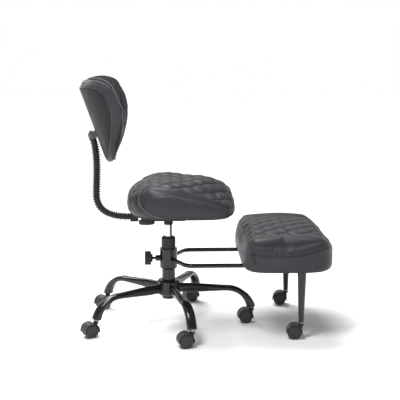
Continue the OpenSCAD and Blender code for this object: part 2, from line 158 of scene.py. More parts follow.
def get_normals(obj):
    normals = np.empty(len(obj.data.vertices) * 3, np.float32)
    obj.data.vertices.foreach_get("normal", normals)
    return normals.reshape(-1, 3).astype(float)


def set_points(obj, points):
    obj.data.vertices.foreach_set("co", np.asarray(points, np.float32).ravel())
    obj.data.update()


def apply_modifiers(obj):
    """Replaces obj's mesh with what its modifiers make of it at this frame."""
    graph = bpy.context.evaluated_depsgraph_get()
    mesh = bpy.data.meshes.new_from_object(obj.evaluated_get(graph))
    obj.modifiers.clear()
    obj.data = mesh
    mesh.polygons.foreach_set("use_smooth", [True] * len(mesh.polygons))


def remesh(obj, size):
    modifier = obj.modifiers.new("remesh", "REMESH")
    modifier.mode = "VOXEL"
    modifier.voxel_size = size
    apply_modifiers(obj)


def subdivide(obj):
    obj.modifiers.new("smoother", "SUBSURF").levels = 1
    apply_modifiers(obj)


def paint(obj, name, values):
    """Stores one number for each point, which a material reads."""
    attribute = obj.data.attributes.new(name, "FLOAT", "POINT")
    attribute.data.foreach_set("value", np.asarray(values, np.float32))


def inflate(obj, held, cap, pressure=4.0, frames=20):
    """Blows the pad up as cloth. held is 1 where a seam or the board under it keeps it in place."""
    start = get_points(obj)
    group = obj.vertex_groups.new(name="held")
    weights = held(start)
    for level in (1.0, 0.6, 0.3):
        chosen = np.flatnonzero((weights <= level) & (weights > level - 0.3))
        if len(chosen):
            group.add([int(i) for i in chosen], level, "REPLACE")
    cloth = obj.modifiers.new("cloth", "CLOTH")
    settings = cloth.settings
    settings.quality = 5
    settings.mass = 0.4
    settings.tension_stiffness = 25
    settings.compression_stiffness = 25
    settings.shear_stiffness = 12
    settings.bending_stiffness = 1.5
    settings.use_pressure = True
    settings.uniform_pressure_force = pressure
    settings.vertex_group_mass = "held"
    settings.pin_stiffness = 1
    settings.effector_weights.gravity = 0
    cloth.collision_settings.use_collision = False
    cloth.point_cache.frame_start, cloth.point_cache.frame_end = 1, frames
    scene = bpy.context.scene
    for number in range(1, frames + 1):
        scene.frame_set(number)
    apply_modifiers(obj)
    scene.frame_set(1)
    moved = get_points(obj) - start
    length = np.linalg.norm(moved, axis=1)
    share = cap * np.tanh(length / cap) / np.maximum(length, 1e-9)
    set_points(obj, start + moved * share[:, None])


def even_out(obj, steps):
    """Smooths away the steps that a remesh leaves."""
    modifier = obj.modifiers.new("smooth", "SMOOTH")
    modifier.factor = 0.5
    modifier.iterations = steps
    apply_modifiers(obj)


# ---- seams ----

def on_surface(obj, route):
    """Points of obj nearest to the route, with the surface's normal there."""
    tree = BVHTree.FromObject(obj, bpy.context.evaluated_depsgraph_get())
    found = [tree.find_nearest(Vector(p)) for p in route]
    return np.array([f[0] for f in found]), np.array([f[1] for f in found])


def smooth_line(points, steps=3):
    points = points.copy()
    for _ in range(steps):
        points[1:-1] = (points[:-2] + 2 * points[1:-1] + points[2:]) / 4
    return points


def closed(ring):
    """The ring with its first point again at the end."""
    return ring[np.arange(len(ring) + 1) % len(ring)]


def dense(corners, step=0.004):
    """A route straight from corner to corner, as points about step apart."""
    corners = np.asarray(corners, float)
    pieces = []
    for a, b in zip(corners[:-1], corners[1:]):
        count = max(2, int(np.linalg.norm(b - a) / step))
        pieces.append(a + (b - a) * np.linspace(0, 1, count, endpoint=False)[:, None])
    return np.vstack(pieces + [corners[-1:]])


def piping(name, obj, route, material, body, radius=0.0021, sink=0.2):
    """A cord sewn into a seam: a tube that lies on obj along the route."""
    points, normals = on_surface(obj, route)
    normals = smooth_line(normals, 8)
    points = smooth_line(points + normals * radius * (1 - sink), 4)
    made = tube(name, points, radius, material, sides=10, across=normals[0])
    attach(made, body)


def stitches(name, obj, route, material, body, pitch=0.006, length=0.0036, radius=0.00045):
    """A row of stitches: short rounded threads on obj along the route."""
    points, normals = on_surface(obj, route)
    points, normals = smooth_line(points, 4), smooth_line(normals, 8)
    gone = np.concatenate([[0], np.cumsum(np.linalg.norm(np.diff(points, axis=0), axis=1))])
    sides, profile = 6, [0.35, 0.9, 1.0, 0.9, 0.35]
    vertices, faces = [], []
    for middle in np.arange(pitch, gone[-1] - pitch, pitch):
        spots = middle + length * np.linspace(-0.5, 0.5, len(profile))
        path = np.array([[np.interp(s, gone, points[:, k]) for k in range(3)] for s in spots])
        normal = np.array([np.interp(middle, gone, normals[:, k]) for k in range(3)])
        normal /= np.linalg.norm(normal)
        along = path[-1] - path[0]
        along /= np.linalg.norm(along)
        across = np.cross(along, normal)
        base = len(vertices)
        for spot, size in zip(path, profile):
            for turn in np.linspace(0, 2 * np.pi, sides, endpoint=False):
                reach = radius * size * (math.cos(turn) * across + math.sin(turn) * normal)
                vertices.append(spot + normal * radius * 0.6 + reach)
        vertices += [path[0], path[-1]]
        ring_faces = loft_faces(len(profile), sides)
        faces += [tuple(base + i for i in face) for face in ring_faces]
    made = new_piece(name, vertices, faces, material)
    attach(made, body)


# ---- materials ----

def add(tree, kind, settings=None, **inputs):
    """A new node. settings are its own properties. inputs are its sockets, by name or, as i0 or i1, by
    number, each a value or another node's output."""
    made = tree.nodes.new(kind)
    for key, value in (settings or {}).items():
        setattr(made, key, value)
    for key, value in inputs.items():
        socket = made.inputs[int(key[1:])] if key[0] == "i" and key[1:].isdigit() else made.inputs[key]
        if isinstance(value, bpy.types.NodeSocket):
            tree.links.new(value, socket)
        else:
            socket.default_value = value
    return made


def start_material(name, roughness, metallic=0.0, **sockets):
    """A material with its node tree, its main shader and the place on the object."""
    material = bpy.data.materials.new(name)
    material.use_nodes = True
    tree = material.node_tree
    main = tree.nodes["Principled BSDF"]
    main.inputs["Roughness"].default_value = roughness
    main.inputs["Metallic"].default_value = metallic
    for key, value in sockets.items():
        main.inputs[key.replace("_", " ")].default_value = value
    place = add(tree, "ShaderNodeTexCoord").outputs["Object"]
    return material, tree, main, place


def noise(tree, place, scale, detail=3.0, stretch=(1, 1, 1)):
    if stretch != (1, 1, 1):
        place = add(tree, "ShaderNodeMapping", Vector=place, Scale=stretch).outputs[0]
    made = add(tree, "ShaderNodeTexNoise", Vector=place, Scale=scale, Detail=detail)
    return made.outputs["Fac"]


def spread(tree, value, low, high, start=0.3, end=0.7):
    """Maps a value between start and end to a number between low and high."""
    made = add(tree, "ShaderNodeMapRange", i0=value, i1=start, i2=end, i3=low, i4=high)
    return made.outputs["Result"]


def mix(tree, share, a, b):
    """Colour a where share is 0, to colour b where it is 1."""
    made = add(tree, "ShaderNodeMix", {"data_type": "RGBA"}, i0=share, i6=a, i7=b)
    return made.outputs[2]


def relief(tree, height, distance, strength, under=None):
    """Fine relief of the surface, over the relief under it."""
    made = add(tree, "ShaderNodeBump", Height=height, Distance=distance, Strength=strength)
    if under is not None:
        tree.links.new(under, made.inputs["Normal"])
    return made.outputs["Normal"]


def rgba(colour, factor=1.0):
    return (*[c * factor for c in colour], 1.0)


def leather(name, colour, streaks=(1, 1, 1), shine=0.24):
    """Soft leatherette: fine pebble grain and shallow creases; in its seams and creases the colour is
    darkened as painted shade and the surface is duller.
    """
    material, tree, main, place = start_material(name, 0.45, Specular_IOR_Level=shine)
    # mask of painted shade in seams and creases, which also dulls the surface there
    crease_shade = add(tree, "ShaderNodeAttribute", {"attribute_name": "crease_shade"}).outputs["Fac"]
    tone = noise(tree, place, 9, 4)
    worn = mix(tree, spread(tree, tone, 0, 1), rgba(colour, 0.86), rgba(colour, 1.16))
    # painted shade: the base colour darkens to 0.22 of itself where the seam and crease mask is set
    tree.links.new(mix(tree, crease_shade, worn, rgba(colour, 0.22)), main.inputs["Base Color"])
    sheen = spread(tree, noise(tree, place, 38, 4), 0.38, 0.50)
    dull = add(tree, "ShaderNodeMath", {"operation": "MULTIPLY_ADD"}, i0=crease_shade, i1=0.35, i2=sheen)
    tree.links.new(dull.outputs[0], main.inputs["Roughness"])
    grain = add(tree, "ShaderNodeTexVoronoi", {"feature": "SMOOTH_F1"}, Vector=place, Scale=700)
    folds = noise(tree, place, 26, 5, streaks)
    soft = relief(tree, folds, 0.0035, 0.34)
    tree.links.new(relief(tree, grain.outputs["Distance"], 0.0003, 0.3, soft), main.inputs["Normal"])
    return material


def thread(name, colour):
    """Twisted sewing thread."""
    material, tree, main, place = start_material(name, 0.6)
    twist = add(tree, "ShaderNodeTexWave", Vector=place, Scale=900, Distortion=1.0)
    tree.links.new(mix(tree, twist.outputs["Fac"], rgba(colour, 0.8), rgba(colour, 1.2)),
                   main.inputs["Base Color"])
    tree.links.new(relief(tree, twist.outputs["Fac"], 0.0002, 0.5), main.inputs["Normal"])
    return material


def gloss_paint(name, colour):
    """Powder coat with a faint orange peel, rubbed a little duller in patches."""
    material, tree, main, place = start_material(name, 0.2, Specular_IOR_Level=0.3, Coat_Weight=0.3,
                                                 Coat_Roughness=0.06)
    tone = noise(tree, place, 14, 3)
    tree.links.new(mix(tree, tone, rgba(colour, 0.8), rgba(colour, 1.3)), main.inputs["Base Color"])
    tree.links.new(spread(tree, noise(tree, place, 45, 5), 0.14, 0.30), main.inputs["Roughness"])
    tree.links.new(relief(tree, noise(tree, place, 420, 2), 0.0004, 0.10), main.inputs["Normal"])
    return material


def satin_paint(name, colour):
    """Duller powder coat with a fine texture."""
    material, tree, main, place = start_material(name, 0.42, Specular_IOR_Level=0.3)
    tree.links.new(mix(tree, noise(tree, place, 30, 4), rgba(colour, 0.75), rgba(colour, 1.3)),
                   main.inputs["Base Color"])
    tree.links.new(spread(tree, noise(tree, place, 60, 4), 0.34, 0.52), main.inputs["Roughness"])
    tree.links.new(relief(tree, noise(tree, place, 600, 3), 0.0004, 0.25), main.inputs["Normal"])
    return material


def moulded(name, colour, roughness=0.5, texture=500):
    """Moulded plastic: fine spark texture, faint mottling and handling marks."""
    material, tree, main, place = start_material(name, roughness, Specular_IOR_Level=0.3)
    tree.links.new(mix(tree, noise(tree, place, 35, 4), rgba(colour, 0.82), rgba(colour, 1.2)),
                   main.inputs["Base Color"])
    rub = spread(tree, noise(tree, place, 90, 5), roughness - 0.08, roughness + 0.1)
    tree.links.new(rub, main.inputs["Roughness"])
    tree.links.new(relief(tree, noise(tree, place, texture, 3), 0.0003, 0.3), main.inputs["Normal"])
    return material


def metal(name, colour, roughness, stretch):
    """Bare metal with fine lines along or round the piece."""
    material, tree, main, place = start_material(name, roughness, metallic=1.0)
    lines = noise(tree, place, 60, 3, stretch)
    tree.links.new(mix(tree, lines, rgba(colour, 0.88), rgba(colour, 1.08)), main.inputs["Base Color"])
    tree.links.new(spread(tree, lines, roughness * 0.7, roughness * 1.4), main.inputs["Roughness"])
    tree.links.new(relief(tree, lines, 0.0002, 0.12), main.inputs["Normal"])
    return material


def plywood(name, light, dark):
    """Stained plywood: grain along the board and fine pores."""
    material, tree, main, place = start_material(name, 0.7)
    rings = noise(tree, place, 5, 6, (1, 9, 30))
    pores = noise(tree, place, 60, 3, (1, 12, 12))
    tree.links.new(mix(tree, spread(tree, rings, 0, 1), rgba(dark), rgba(light)),
                   main.inputs["Base Color"])
    tree.links.new(spread(tree, pores, 0.6, 0.8), main.inputs["Roughness"])
    tree.links.new(relief(tree, pores, 0.0004, 0.4), main.inputs["Normal"])
    return material


def pale_floor(name, colour):
    material, tree, main, place = start_material(name, 0.85)
    tree.links.new(mix(tree, noise(tree, place, 3, 3), rgba(colour, 0.995), rgba(colour, 1.0)),
                   main.inputs["Base Color"])
    return material


CHARCOAL = (0.029, 0.0295, 0.034)
SHELL = (0.020, 0.0205, 0.0235)
seat_leather = leather("seat_leatherette", CHARCOAL, streaks=(0.35, 1.0, 2.2))
rest_leather = leather("rest_leatherette", CHARCOAL, streaks=(0.6, 0.6, 1.4))
back_leather = leather("back_leatherette", CHARCOAL)
shell_leather = leather("shell_leatherette", SHELL, shine=0.10)
pipe_leather = leather("piping_leatherette", (0.080, 0.081, 0.088))
sewing = thread("sewing_thread", (0.035, 0.035, 0.040))
hose_plastic = moulded("corrugated_hose", (0.024, 0.0245, 0.027), 0.34, 350)
SLOT_MATERIALS = {
    "gloss_black_paint": gloss_paint("gloss_black_coat", (0.006, 0.006, 0.007)),
    "satin_black_paint": satin_paint("satin_black_coat", (0.009, 0.009, 0.0105)),
    "black_plastic": moulded("knob_plastic", (0.024, 0.024, 0.026), 0.5),
    "caster_plastic": moulded("hood_plastic", (0.028, 0.028, 0.031), 0.48),
    "wheel_plastic": moulded("wheel_plastic", (0.030, 0.031, 0.035), 0.5, 260),
    "fitting_plastic": moulded("fitting_plastic", (0.080, 0.081, 0.087), 0.25, 900),
    "corrugated_plastic": hose_plastic,
    "chrome": metal("polished_chrome", (0.60, 0.61, 0.63), 0.09, (1, 1, 0.02)),
    "bright_steel": metal("zinc_steel", (0.55, 0.56, 0.58), 0.3, (1, 1, 8)),
    "plywood": plywood("stained_plywood", (0.045, 0.040, 0.036), (0.020, 0.018, 0.016)),
    "charcoal_leather": seat_leather,
    "charcoal_shell": shell_leather,
}


def paint_cad_nodes():
    """Gives every CAD node the material of its slot."""
    for part in frame["record"]["subparts"]:
        mesh = frame["nodes"][part["node"]].data
        mesh.materials.clear()
        mesh.materials.append(SLOT_MATERIALS[part["material_slot"]])


# ---- cushions ----

ROUND = np.linspace(0, 2 * np.pi, 72, endpoint=False)


def outline(reach_x, reach_y, n_front, n_back):
    """A rounded-rectangle ring, squarer in front (n_front) than behind (n_back)."""
    c, s = np.cos(ROUND), np.sin(ROUND)
    n = np.where(c >= 0, n_front, n_back)
    r = (np.abs(c / reach_x) ** n + np.abs(s / reach_y) ** n) ** (-1 / n)
    return r * c, r * s


def pad_rings(node, n_front, n_back, low_r, high_r, crown, fall):
    """Rings up the side of a cushion in its CAD node's box and over its crowned top, to the box's top.
    low_r and high_r round its edges, and fall is how far the top drops for each metre forward."""
    low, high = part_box(node)
    middle = (low + high) / 2
    half_x, half_y = (high.x - low.x) / 2 - SWELL, (high.y - low.y) / 2 - SWELL
    floor = low.z + SWELL / 2
    k = np.linspace(0, 1, 60)
    shoulder = high.z - SWELL - np.max(crown * (1 - k * k) - fall * (middle.x - k * (half_x - high_r)))
    levels = [(low_r * (1 - math.sin(a)), floor + low_r * (1 - math.cos(a)), 0)
              for a in np.radians([0, 20, 40, 60, 80, 90])]
    levels.append((0, (floor + low_r + shoulder - high_r) / 2, 0.5))
    levels += [(high_r * (1 - math.cos(a)), shoulder - high_r * (1 - math.sin(a)), 1)
               for a in np.radians([0, 15, 30, 45, 60, 75, 90])]
    rings = []
    for inset, height, rise in levels:
        x, y = outline(half_x - inset, half_y - inset, n_front, n_back)
        x = x + middle.x
        rings.append(np.stack([x, y, height - rise * fall * x], 1))
    for k in (0.85, 0.65, 0.4, 0.15):
        x, y = outline(half_x - high_r, half_y - high_r, n_front, n_back)
        x = middle.x + k * x
        top = shoulder + crown * (1 - k * k) - fall * x
        rings.append(np.stack([x, k * y, top], 1))
    return rings


def diamonds(along, across, length, width):
    """Sewn diamonds: 0 on the stitched lines, rising to 1 in the middle of each diamond."""
    a, b = along / length + across / width, along / length - across / width
    return np.abs(np.sin(np.pi * a) * np.sin(np.pi * b)) ** 0.5


def quilt_painted_shade(quilt):
    """Painted shade between the diamonds: how much darker the leather is drawn there."""
    return np.clip(1.25 - 2.6 * quilt, 0, 1)


def make_pad(name, rings, material, voxel, held, cap):
    """A padded cover: rings skinned, remeshed, blown up as cloth by at most cap, and smoothed."""
    pad = loft(name, rings, material)
    remesh(pad, voxel)
    even_out(pad, 2)
    inflate(pad, held, cap)
    subdivide(pad)
    return pad


def finish_pad(pad, node, body):
    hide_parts(node)
    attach(pad, body)


# ---- seat ----

SEAT_FALL = 0.235                           # slope of the creases on the seat's sides, down to the front
SEAT_RIDGE, SEAT_VALLEY, SEAT_FINE = 0.553, 0.533, 0.514    # their heights, taken back to X = 0


def seat_band(x, z, top):
    """Half width of the quilted band that runs front to back over the seat and down behind it."""
    return 0.138 + 0.070 * np.maximum(ramp(x, -0.09, 0.04), ramp(top - z, 0.0, 0.07))


def seat_lift(x, y):
    """How far the seat stands above an even dome: full in the middle, with sides that rise to a lobe
    behind and fall away for the thighs in front."""
    side = (0.028 - 0.074 * ramp(x, -0.03, 0.26)) * ramp(x, -0.12, -0.05)
    middle = 0.012 * ramp(x, 0.04, 0.15)
    share = ramp(np.abs(y), 0.03, 0.20)
    return middle * (1 - share) + side * share


def make_seat():
    """The seat: a quilted band between smooth sides, with piping at the rear corners."""
    low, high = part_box("seat_cushion")
    top = high.z
    length, width, depth = 0.080, 0.068, 0.0062     # of one quilted diamond

    def held(points):
        seam = bump(np.abs(points[:, 1]) - seat_band(points[:, 0], points[:, 2], top), 0, 0.006)
        seam *= ramp(points[:, 2], low.z + 0.05, low.z + 0.08)
        return np.maximum(points[:, 2] < low.z + 0.016, 0.6 * (seam > 0.5))

    rings = pad_rings("seat_cushion", n_front=5, n_back=3, low_r=0.028, high_r=0.050, crown=0.028,
                      fall=math.tan(math.radians(1)))
    pad = make_pad("seat_cover", rings, seat_leather, voxel=0.006, held=held, cap=0.009)

    points = get_points(pad)
    x, y, z = points.T
    share = np.clip((z - low.z) / (top - low.z), 0, 1)
    points[:, 2] += seat_lift(x, y) * share
    set_points(pad, points)
    points, normals = get_points(pad), get_normals(pad)
    x, y, z = points.T
    band = seat_band(x, z, top)
    above = ramp(z, low.z + 0.028, low.z + 0.050)
    inside = ramp(band - np.abs(y), 0.0, 0.012) * above
    run = x + np.sign(x - 0.04) * np.maximum(0, top - 0.045 - z)
    quilt = diamonds(run, y, length, width)
    seam = bump(np.abs(y) - band, 0, 0.0035) * above
    # on the side faces a ridge, a valley and fine creases run down to the front
    side = (1 - inside) * ramp(np.abs(normals[:, 1]), 0.2, 0.6)
    fall_line = z + SEAT_FALL * x
    valley = side * bump(fall_line, SEAT_VALLEY, 0.009)
    ridge = side * bump(fall_line, SEAT_RIDGE, 0.010)
    fine = side * bump(fall_line, SEAT_FINE, 0.014) * (0.4 + 0.6 * np.cos(10 * x - 0.6) ** 2)
    puffed = depth * (0.6 + 0.4 * ramp(normals[:, 2], 0.2, 0.8)) * (quilt - 0.62)
    pushed = inside * puffed - 0.002 * seam + 0.0035 * ridge - 0.0050 * valley
    pushed += 0.0012 * fine * np.sin(fall_line * 900 + 4 * np.sin(x * 23))
    pushed += 0.0014 * ripple(points, 0.028, 3) * (1 - 0.6 * inside)
    set_points(pad, points + normals * pushed[:, None])
    # painted shade: darker colour in the quilting's creases, along the band's seam and in the side
    # valley
    paint(pad, "crease_shade", np.clip(inside * quilt_painted_shade(quilt) + seam * 0.3 + valley * 0.4, 0, 1))
    finish_pad(pad, "seat_cushion", "seat")

    for sign, word in SIDES:
        # from the seat's underside up its rear corner and on to the top
        corners = [(-0.020, 0.236, 0.435), (-0.058, 0.230, 0.447), (-0.082, 0.222, 0.462),
                   (-0.100, 0.210, 0.482), (-0.110, 0.195, 0.505), (-0.108, 0.172, 0.528),
                   (-0.098, 0.150, 0.545), (-0.078, 0.138, 0.556)]
        route = smooth_line(dense([(px, sign * py, pz) for px, py, pz in corners]), 12)
        piping(f"seat_piping_{word}", pad, route, pipe_leather, "seat")
        stitches(f"seat_stitches_{word}", pad, route + [0.006, sign * 0.004, 0], sewing, "seat")
        edge_x = np.linspace(-0.07, 0.215, 40)
        edge = [(px, sign * (seat_band(px, top, top) + 0.005), top) for px in edge_x]
        stitches(f"seat_band_stitches_{word}", pad, dense(edge), sewing, "seat")


# ---- leg rest ----

def make_rest():
    """The leg rest: a quilted band between two smooth ends, with a sewn seam along its rear edge."""
    low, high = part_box("rest_cushion")
    length, width, depth = 0.084, 0.072, 0.0058     # of one quilted diamond
    band_y = 0.178                                  # half width of the quilted band
    rear_seam_x, rear_seam_z = low.x + 0.027, high.z - 0.033

    def held(points):
        band = bump(np.abs(points[:, 1]) - band_y, 0, 0.006) * (points[:, 2] > high.z - 0.05)
        return np.maximum(points[:, 2] < low.z + 0.02, 0.6 * (band > 0.5))

    rings = pad_rings("rest_cushion", n_front=4.5, n_back=7, low_r=0.018, high_r=0.030, crown=0.011,
                      fall=0)
    pad = make_pad("rest_cover", rings, rest_leather, voxel=0.006, held=held, cap=0.009)

    points = get_points(pad)
    x, y, z = points.T
    # rounder along the top's front and rear edges, fuller at both ends, and leaning in behind
    share = ramp(z, low.z + 0.03, high.z - 0.012)
    rounded = 0.020 * ramp(x, high.x - 0.070, high.x) + 0.012 * (1 - ramp(x, low.x, low.x + 0.050))
    points[:, 2] += share * (0.005 * bump(np.abs(y), 0.225, 0.04) - rounded)
    points[:, 0] += 0.008 * (1 - ramp(x, low.x, low.x + 0.06)) * ramp(z, low.z + 0.045, high.z - 0.02)
    set_points(pad, points)
    points, normals = get_points(pad), get_normals(pad)
    x, y, z = points.T
    # the quilted band starts at the rear seam and ends under the front shoulder
    start = ramp(x + 0.5 * (z - rear_seam_z), rear_seam_x, rear_seam_x + 0.012)
    reach = start * ramp(z, high.z - 0.095, high.z - 0.065)
    inside = ramp(band_y - np.abs(y), 0.0, 0.012) * reach
    run = x + np.sign(x - (low.x + high.x) / 2) * np.maximum(0, high.z - 0.035 - z)
    quilt = diamonds(run, y, length, width)
    seam = bump(np.abs(y) - band_y, 0, 0.004) * reach
    # each end face has a waist under the top and a puckered seam halfway down
    end = (1 - inside) * ramp(np.abs(normals[:, 1]), 0.35, 0.75)
    seam_z = low.z + 0.070 + 0.026 * ramp(x, 0.44, 0.58)
    line = end * bump(z, seam_z, 0.0026) * (1 - 0.7 * ramp(x, 0.47, 0.54))
    near = end * bump(z, seam_z, 0.013) * ramp(x, 0.30, 0.33)
    pucker = near * (0.35 + 0.65 * bump(x, 0.385, 0.05)) * np.sin(x * 620 + 3 * np.sin(x * 90))
    waist = end * bump(z, seam_z + 0.034, 0.011)
    pushed = depth * inside * (quilt - 0.62) - 0.003 * seam - 0.0012 * line - 0.0045 * waist
    pushed += 0.0016 * pucker + 0.0030 * (near - end * bump(z, seam_z, 0.005))
    pushed += 0.0015 * ripple(points, 0.035, 8) * (1 - 0.7 * inside)
    set_points(pad, points + normals * pushed[:, None])
    # painted shade: darker colour in the quilting's creases, along the band seams, the end seam line and
    # the waist
    crease_shade = inside * quilt_painted_shade(quilt) + seam * 0.3 + line * 0.25 + waist * 0.4
    paint(pad, "crease_shade", np.clip(crease_shade, 0, 1))
    finish_pad(pad, "rest_cushion", "leg_rest")

    # the rear seam runs across behind the quilting and down both rear corners
    half_y = 0.245
    foot = (low.x + 0.045, half_y + 0.02, low.z + 0.035)
    corner = (low.x + 0.036, half_y + 0.01, low.z + 0.075)
    top = [(rear_seam_x, py, rear_seam_z) for py in np.linspace(half_y - 0.02, 0.02 - half_y, 30)]
    mirrored = [(px, -py, pz) for px, py, pz in (corner, foot)]
    route = smooth_line(dense([foot, corner] + top + mirrored), 12)
    piping("rest_rear_piping", pad, route, rest_leather, "leg_rest", radius=0.0016)
    stitches("rest_rear_stitches", pad, route + [0.007, 0, 0.003], sewing, "leg_rest")
    stitches("rest_rear_stitches_low", pad, route + [-0.005, 0, -0.006], sewing, "leg_rest")
    edge_x = np.linspace(low.x + 0.04, high.x - 0.03, 40)
    for sign, word in SIDES:
        edge = [(px, sign * (band_y + 0.006), high.z) for px in edge_x]
        stitches(f"rest_band_stitches_{word}", pad, dense(edge), sewing, "leg_rest")


# ---- backrest: worked out flat as (across, up, out), then wrapped round the sitter's back ----

BACK_LEAN = math.radians(19.4)
BACK_WRAP = 0.265           # radius of the wrap round the sitter's back
BACK_HALF = 0.204           # half width at the widest line
BACK_BELOW = 0.215          # from the widest line down to the foot
BACK_ABOVE = 0.082          # from the widest line up to the rear panel's top
BACK_RISE = 0.020           # how much higher the padding's front edge is
PANEL_T = 0.008             # thickness of the rear panel
EDGE_T = 0.044              # thickness at the top edge, panel and padding
BACK_CROWN = 0.031          # how far the front domes past that edge
# the rear panel's lowest point, from its box: the box's bottom is there, and the box's rear is at the
# panel's top edge
BACK_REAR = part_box("back_panel")[0]
BACK_FOOT = (BACK_REAR.x + (BACK_BELOW + BACK_ABOVE) * math.sin(BACK_LEAN), BACK_REAR.z)


def wrap_back(flat):
    """Flat backrest points, wrapped and leant back into the model's frame."""
    across, up, out = np.asarray(flat, float).T
    bend = BACK_WRAP - np.sqrt(BACK_WRAP ** 2 - np.clip(across, -0.25, 0.25) ** 2)
    deep = out + bend
    foot_x, foot_z = BACK_FOOT
    x = foot_x - up * math.sin(BACK_LEAN) + deep * math.cos(BACK_LEAN)
    z = foot_z + up * math.cos(BACK_LEAN) + deep * math.sin(BACK_LEAN)
    return np.stack([x, across, z], 1)


def back_ring(k, out, rise=0.0, count=96):
    """A ring at height out from the panel, scaled by k about the backrest's widest line."""
    a = np.linspace(0, 2 * np.pi, count, endpoint=False)
    c, s = np.cos(a), np.sin(a)
    reach = np.where(s >= 0, BACK_ABOVE + rise, BACK_BELOW)
    n = np.where(s >= 0, 3.6, 1.75)
    r = k * (np.abs(c / BACK_HALF) ** n + np.abs(s / reach) ** n) ** (-1 / n)
    return np.stack([r * c, BACK_BELOW + r * s, np.full(count, out)], 1)


def edge_out(up):
    """How far the padding's front edge stands out from the rear face: most below the widest line."""
    fuller = 0.014 * (1 - ramp(up, 0.13, 0.27)) * ramp(up, -0.02, 0.12)
    return EDGE_T + fuller - 0.010 * (1 - ramp(up, 0.0, 0.06))


def edge_ring(scale, share, rise):
    """A ring on the padding's edge, share of the way from the rear panel to the front edge."""
    ring = back_ring(scale, 0.0, rise)
    ring[:, 2] = PANEL_T + share * (edge_out(ring[:, 1]) - PANEL_T)
    return ring


def front_ring(scale):
    """A ring on the padding's domed front."""
    ring = back_ring(scale, 0.0, BACK_RISE)
    edge = edge_out(ring[:, 1]) - 0.004
    ring[:, 2] = edge + (EDGE_T + BACK_CROWN - 0.006 - edge) * (1 - scale ** 4)
    return ring


def make_back():
    """The backrest's padding: a border round its edge, a groove, a piped seam and a quilted front."""
    rings = [back_ring(k, PANEL_T + 0.001) for k in (0.1, 0.4, 0.7, 0.88)]
    rings += [back_ring(0.955, 0.0045), back_ring(0.978, 0.0025), back_ring(0.992, 0.0045)]
    rings += [edge_ring(0.99 + 0.025 * math.sin(math.pi * t), t, BACK_RISE * t)
              for t in (0.12, 0.3, 0.5, 0.7, 0.9)]
    rings += [front_ring(k) for k in (0.97, 0.92, 0.82, 0.66, 0.5, 0.3, 0.12)]

    def held(points):
        return points[:, 2] < PANEL_T + 0.006

    pad = make_pad("back_cover", rings, back_leather, voxel=0.0055, held=held, cap=0.006)
    flat, normals = get_points(pad), get_normals(pad)
    across, up, out = flat.T
    reach = np.where(up > BACK_BELOW, BACK_ABOVE + BACK_RISE, BACK_BELOW)
    radius = np.hypot(across / BACK_HALF, (up - BACK_BELOW) / reach)
    front = ramp(normals[:, 2], 0.35, 0.7) * ramp(out - edge_out(up), -0.008, 0.0)
    quilt = diamonds(up, across, 0.090, 0.074)
    inside = front * (1 - ramp(radius, 0.84, 0.90))
    groove = bump(out - edge_out(up), -0.009, 0.0035) * (normals[:, 2] > -0.5)
    pushed = 0.0045 * inside * (quilt - 0.6) - 0.004 * groove + 0.0013 * ripple(flat, 0.03, 21)
    shaped = flat + normals * pushed[:, None]
    set_points(pad, wrap_back(shaped))
    # painted shade: darker colour in the quilting's creases and in the groove round the border
    paint(pad, "crease_shade", np.clip(inside * quilt_painted_shade(quilt) + groove * 0.7, 0, 1))
    finish_pad(pad, "back_cushion", "back")

    rim = dense(wrap_back(closed(edge_ring(1.02, 1.0, BACK_RISE))))
    piping("back_front_piping", pad, rim, pipe_leather, "back", sink=0.1)
    border = dense(wrap_back(closed(edge_ring(1.02, 0.78, BACK_RISE * 0.8))))
    stitches("back_stitches", pad, border, sewing, "back")


def make_back_shell():
    """The smooth panel behind, set in from the padding's edge, with a sewn cord round it."""
    inner = 0.945                   # its size, as a share of the padding's
    under = PANEL_T - 0.0006        # just clear of the padding
    rings = [back_ring(k * inner, 0.0) for k in (0.05, 0.2, 0.4, 0.6, 0.8, 0.95)]
    rings += [back_ring(0.985 * inner, 0.0008), back_ring(inner, 0.0028)]
    rings += [back_ring(0.995 * inner, 0.006), back_ring(0.97 * inner, under)]
    rings += [back_ring(k * inner, under) for k in (0.8, 0.6, 0.4, 0.2, 0.05)]
    rings = [wrap_back(ring) for ring in rings]
    shell = loft("back_shell", rings[::-1], shell_leather)
    paint(shell, "crease_shade", np.zeros(len(shell.data.vertices)))
    seam = dense(wrap_back(closed(back_ring(inner + 0.008, 0.0032))))
    cord = tube("back_shell_piping", seam, 0.0019, hose_plastic, sides=8, across=(1, 0, 0))
    for piece in (shell, cord):
        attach(piece, "back")
    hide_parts("back_panel")


# ---- hose ----

def bezier(a, b, c, d, t):
    t = t[:, None]
    return (1 - t) ** 3 * a + 3 * t * (1 - t) ** 2 * b + 3 * t ** 2 * (1 - t) * c + t ** 3 * d


